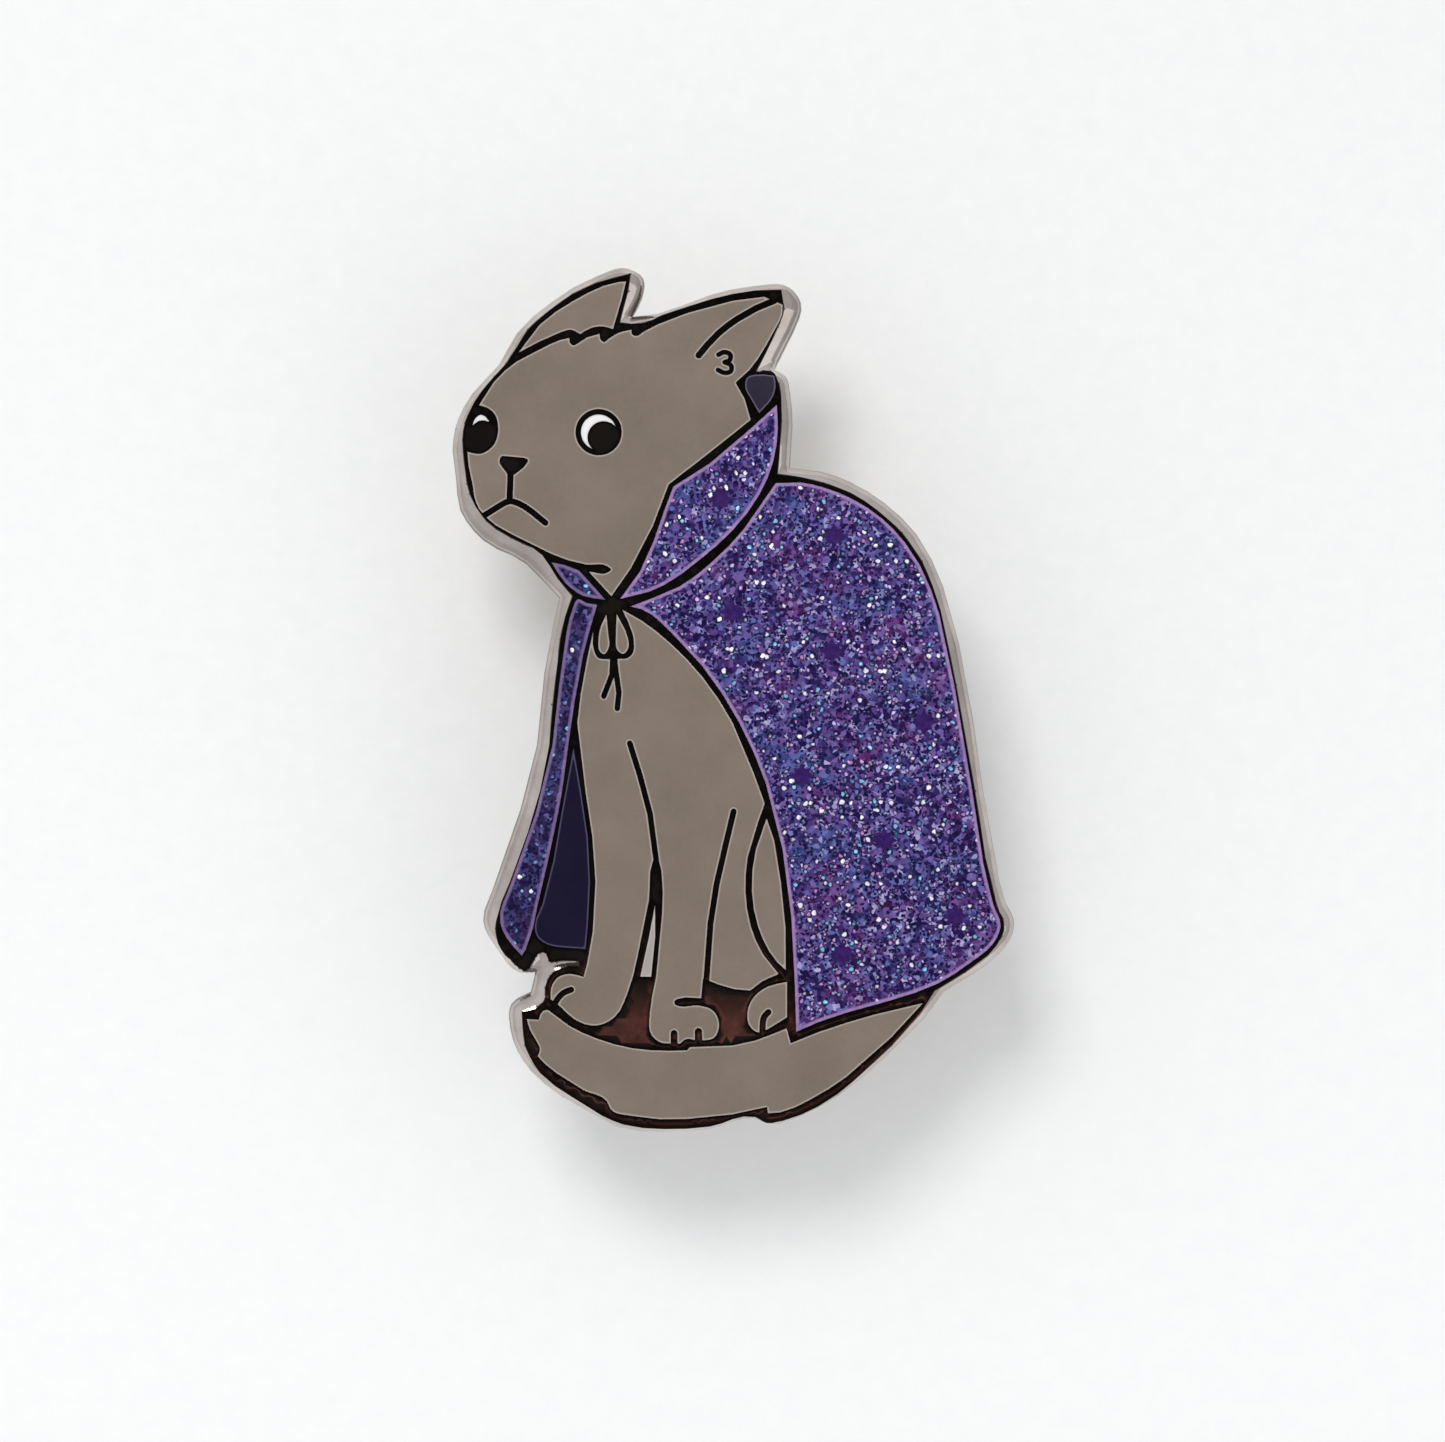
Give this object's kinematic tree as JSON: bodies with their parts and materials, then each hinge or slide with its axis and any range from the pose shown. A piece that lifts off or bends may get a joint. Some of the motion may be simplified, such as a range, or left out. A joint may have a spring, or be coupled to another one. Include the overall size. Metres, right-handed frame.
{
  "type": "enamel lapel pin",
  "caption": "Enamel lapel pin of a seated cat in a starry glitter cape, with a struck dark metal plate, posts and butterfly clutches.",
  "frame": {"origin": "centre of the pin's footprint, on the surface under the two clutches", "axes": "+X to the right and +Y towards the cat's ears as one looks at the enamel face, +Z out of that face"},
  "size_m": [0.0248, 0.0381, 0.0103],
  "materials": {
    "black_nickel": "polished black nickel plating",
    "fur_enamel": "polished hard enamel, warm grey",
    "light_fur_enamel": "polished hard enamel, light grey",
    "eye_white_enamel": "polished hard enamel, white",
    "blue_glitter": "clear enamel over blue and violet glitter flakes",
    "violet_glitter": "clear enamel over violet, navy and pink glitter flakes",
    "slate_enamel": "polished hard enamel, slate",
    "navy_enamel": "polished hard enamel, navy",
    "star_ink": "screen-printed dark violet ink",
    "post_metal": "black nickel plating",
    "solder": "dull tin solder",
    "clutch_brass": "polished stamped brass"
  },
  "bodies": {
    "badge": {"base_plate": "black_nickel", "head_enamel": "fur_enamel", "far_ear_enamel": "fur_enamel", "body_enamel": "fur_enamel", "haunch_enamel": "fur_enamel", "hind_paw_enamel": "fur_enamel", "tail_enamel": "fur_enamel", "leg_gap_enamel": "light_fur_enamel", "near_eye_white": "eye_white_enamel", "far_eye_white": "eye_white_enamel", "collar_left_glitter": "blue_glitter", "cape_left_glitter": "blue_glitter", "collar_right_glitter": "violet_glitter", "cape_right_glitter": "violet_glitter", "collar_lining_enamel": "slate_enamel", "cape_lining_enamel": "navy_enamel", "bow_left_enamel": "fur_enamel", "bow_right_enamel": "fur_enamel", "star_print": "star_ink", "upper_post": "post_metal", "upper_solder": "solder", "lower_post": "post_metal", "lower_solder": "solder"},
    "upper_clutch": {"upper_clutch_face": "clutch_brass", "upper_clutch_shell": "clutch_brass"},
    "upper_left_jaw": {"upper_jaw_left": "clutch_brass"},
    "upper_right_jaw": {"upper_jaw_right": "clutch_brass"},
    "lower_clutch": {"lower_clutch_face": "clutch_brass", "lower_clutch_shell": "clutch_brass"},
    "lower_left_jaw": {"lower_jaw_left": "clutch_brass"},
    "lower_right_jaw": {"lower_jaw_right": "clutch_brass"}
  },
  "joints": [
    {"name": "upper_clutch_slide", "type": "slide", "parent": "badge", "child": "upper_clutch", "axis": [0, 0, -1], "range_m": [0, 0.012]},
    {"name": "upper_right_jaw_hinge", "type": "hinge", "parent": "upper_clutch", "child": "upper_right_jaw", "pos_m": [-0.0006, 0.0088, 0.0024], "axis": [0, 1, 0], "range_deg": [0, 8], "stiffness_Nm_per_rad": 0.002},
    {"name": "upper_left_jaw_hinge", "type": "hinge", "parent": "upper_clutch", "child": "upper_left_jaw", "pos_m": [-0.0058, 0.0088, 0.0024], "axis": [0, 1, 0], "range_deg": [-8, 0], "stiffness_Nm_per_rad": 0.002},
    {"name": "lower_clutch_slide", "type": "slide", "parent": "badge", "child": "lower_clutch", "axis": [0, 0, -1], "range_m": [0, 0.012]},
    {"name": "lower_right_jaw_hinge", "type": "hinge", "parent": "lower_clutch", "child": "lower_right_jaw", "pos_m": [0.004, -0.0086, 0.0024], "axis": [0, 1, 0], "range_deg": [0, 8], "stiffness_Nm_per_rad": 0.002},
    {"name": "lower_left_jaw_hinge", "type": "hinge", "parent": "lower_clutch", "child": "lower_left_jaw", "pos_m": [-0.0012, -0.0086, 0.0024], "axis": [0, 1, 0], "range_deg": [-8, 0], "stiffness_Nm_per_rad": 0.002}
  ],
  "couplings": [
    {"joint": "upper_left_jaw_hinge", "follows": "upper_right_jaw_hinge", "ratio": -1},
    {"joint": "lower_left_jaw_hinge", "follows": "lower_right_jaw_hinge", "ratio": -1}
  ]
}
